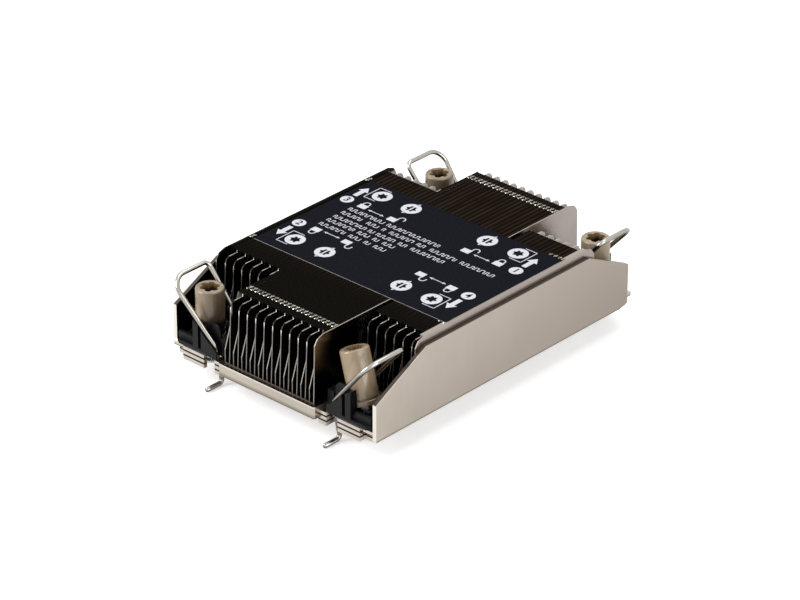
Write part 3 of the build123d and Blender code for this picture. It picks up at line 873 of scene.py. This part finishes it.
def row_tree(tabs):
    """A node tree that repeats the interlock tabs at the fin pitch."""
    tree = bpy.data.node_groups.new("interlock_row", "GeometryNodeTree")
    for label, kind, default in (("Count", "NodeSocketInt", 2), ("Pitch", "NodeSocketFloat", FIN_PITCH),
                                 ("First X", "NodeSocketFloat", 0.0), ("Row Y", "NodeSocketFloat", 0.0),
                                 ("Height", "NodeSocketFloat", FIN_TOP)):
        tree.interface.new_socket(label, in_out="INPUT", socket_type=kind).default_value = default
    tree.interface.new_socket("Geometry", in_out="OUTPUT", socket_type="NodeSocketGeometry")
    inputs = add_node(tree, "NodeGroupInput").outputs
    start = add_node(tree, "ShaderNodeCombineXYZ",
                     {"X": inputs["First X"], "Y": inputs["Row Y"], "Z": inputs["Height"]})
    stride = add_node(tree, "ShaderNodeCombineXYZ", {"X": inputs["Pitch"]})
    line = add_node(tree, "GeometryNodeMeshLine",
                    {"Count": inputs["Count"], "Start Location": start, "Offset": stride})
    shape = add_node(tree, "GeometryNodeObjectInfo", {"Object": tabs})
    copies = add_node(tree, "GeometryNodeInstanceOnPoints",
                      {"Points": line, "Instance": shape.outputs["Geometry"]})
    real = add_node(tree, "GeometryNodeRealizeInstances", {"Geometry": copies})
    painted = add_node(tree, "GeometryNodeSetMaterial", {"Geometry": real, "Material": TIPS})
    add_node(tree, "NodeGroupOutput", {"Geometry": painted})
    return tree


# Rows by place: name, fin that the row starts behind, its line along Y and the number of fins
CENTER_ROW_Y = center_high.y - INTERLOCK_INSET
BEHIND_FIN = 0.55
INTERLOCK_ROWS = (
    ("interlocks_front", 13, -CENTER_ROW_Y, 21),
    ("interlocks_rear", 13, CENTER_ROW_Y, 21),
    ("interlocks_rear_right", 43, 24.6 * MM, 4),
    ("interlocks_front_right", 45, -23.8 * MM, 2),
    ("interlocks_front_left", 0, -23.2 * MM, 1),
    ("interlocks_rear_left", 0, 24.6 * MM, 1),
)


def interlock_row(name, tree, first_fin, y, count):
    """A row from the gap behind one fin on, made a plain mesh."""
    carrier = new_object(name, bpy.data.meshes.new(name))
    row = carrier.modifiers.new("row", "NODES")
    row.node_group = tree
    sizes = {"Count": count, "First X": FIRST_FIN_X + (first_fin + BEHIND_FIN) * FIN_PITCH, "Row Y": y}
    for socket in tree.interface.items_tree:
        if socket.name in sizes:
            row[socket.identifier] = sizes[socket.name]
    piece = new_object(name, evaluated_mesh(carrier))
    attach(piece, "heatsink")


tabs = interlock_set()
tree = row_tree(tabs)
for name, first_fin, y, count in INTERLOCK_ROWS:
    interlock_row(name, tree, first_fin, y, count)
bpy.data.objects.remove(tabs)


# Stage, light and camera

FLOOR_SIZE = 6
CAMERA_GLOW = 0.5
GLOSS_GLOW = 0.12
WORLD_TONE = "#9a9a9a"
LAMPS = (
    ("left_softbox", (-0.5, -0.55, 0.45), (0.4, 0.5), 5.5),
    ("right_fill", (0.8, -0.1, 0.35), (0.6, 0.6), 3.0),
    ("overhead", (0.0, 0.3, 0.9), (0.6, 0.6), 3.0),
)


def ray_mask(tree, *kinds):
    """1 for rays of any of these kinds."""
    rays = add_node(tree, "ShaderNodeLightPath").outputs
    mask = rays[kinds[0]]
    for kind in kinds[1:]:
        mask = add_node(tree, "ShaderNodeMath", {0: mask, 1: rays[kind]}, operation="MAXIMUM")
    return mask


def stage():
    """A white floor that keeps the shadow, and a world that is white wherever it is seen or mirrored."""
    bpy.ops.mesh.primitive_plane_add(size=FLOOR_SIZE, location=(0, 0, cad_low.z))
    floor = bpy.context.object
    floor.name = "studio_floor"
    finish = Finish("matt_white_floor", {"Roughness": 0.9, "IOR": 1.3, "Emission Color": (1, 1, 1, 1)})
    finish.paint("#f4f4f4", (finish.grain(30 * MM, strength=0.5), "#f2f2f3"))
    seen = finish.mask(ray_mask(finish.tree, "Is Camera Ray"), 0.0, 1.0, CAMERA_GLOW)
    mirrored = finish.mask(ray_mask(finish.tree, "Is Glossy Ray", "Is Transmission Ray"), 0.0, 1.0,
                           GLOSS_GLOW)
    finish.feed("Emission Strength", finish.add("ShaderNodeMath", {0: seen, 1: mirrored}, operation="ADD"))
    floor.data.materials.append(finish.material)

    world = bpy.data.worlds.new("studio_world")
    scene.world = world
    world.use_nodes = True
    tree = world.node_tree
    white_rays = ray_mask(tree, "Is Camera Ray", "Is Glossy Ray", "Is Transmission Ray")
    tone = add_node(tree, "ShaderNodeMix", {"Factor": white_rays, "A": WORLD_TONE, "B": "#ffffff"},
                    data_type="RGBA")
    tree.links.new(output_of(tone), tree.nodes["Background"].inputs["Color"])


def soft_lamp(name, place, size, power):
    data = bpy.data.lights.new(name, "AREA")
    data.shape = "RECTANGLE"
    data.size, data.size_y = size
    data.energy = power
    lamp = new_object(name, data)
    lamp.location = place
    lamp.rotation_euler = (-Vector(place)).to_track_quat("-Z", "Y").to_euler()


def camera():
    """The photograph's view, as fitted to points of the object."""
    data = bpy.data.cameras.new("photo_view")
    data.lens = 175.83
    data.sensor_width = 36.0
    data.shift_x = 0.0063
    data.shift_y = 0.0016
    data.clip_start = 0.01
    data.clip_end = 20.0
    view = new_object("photo_view", data)
    right = Vector((0.73749, 0.67536, 0.00220))
    down = Vector((0.32453, -0.35152, -0.87813))
    forward = Vector((-0.59228, 0.64832, -0.47841))
    turn = Matrix((right, -down, -forward)).transposed().to_4x4()
    view.matrix_world = Matrix.Translation((0.6479, -0.7134, 0.5350)) @ turn
    scene.camera = view


stage()
for name, place, size, power in LAMPS:
    soft_lamp(name, place, size, power)
camera()
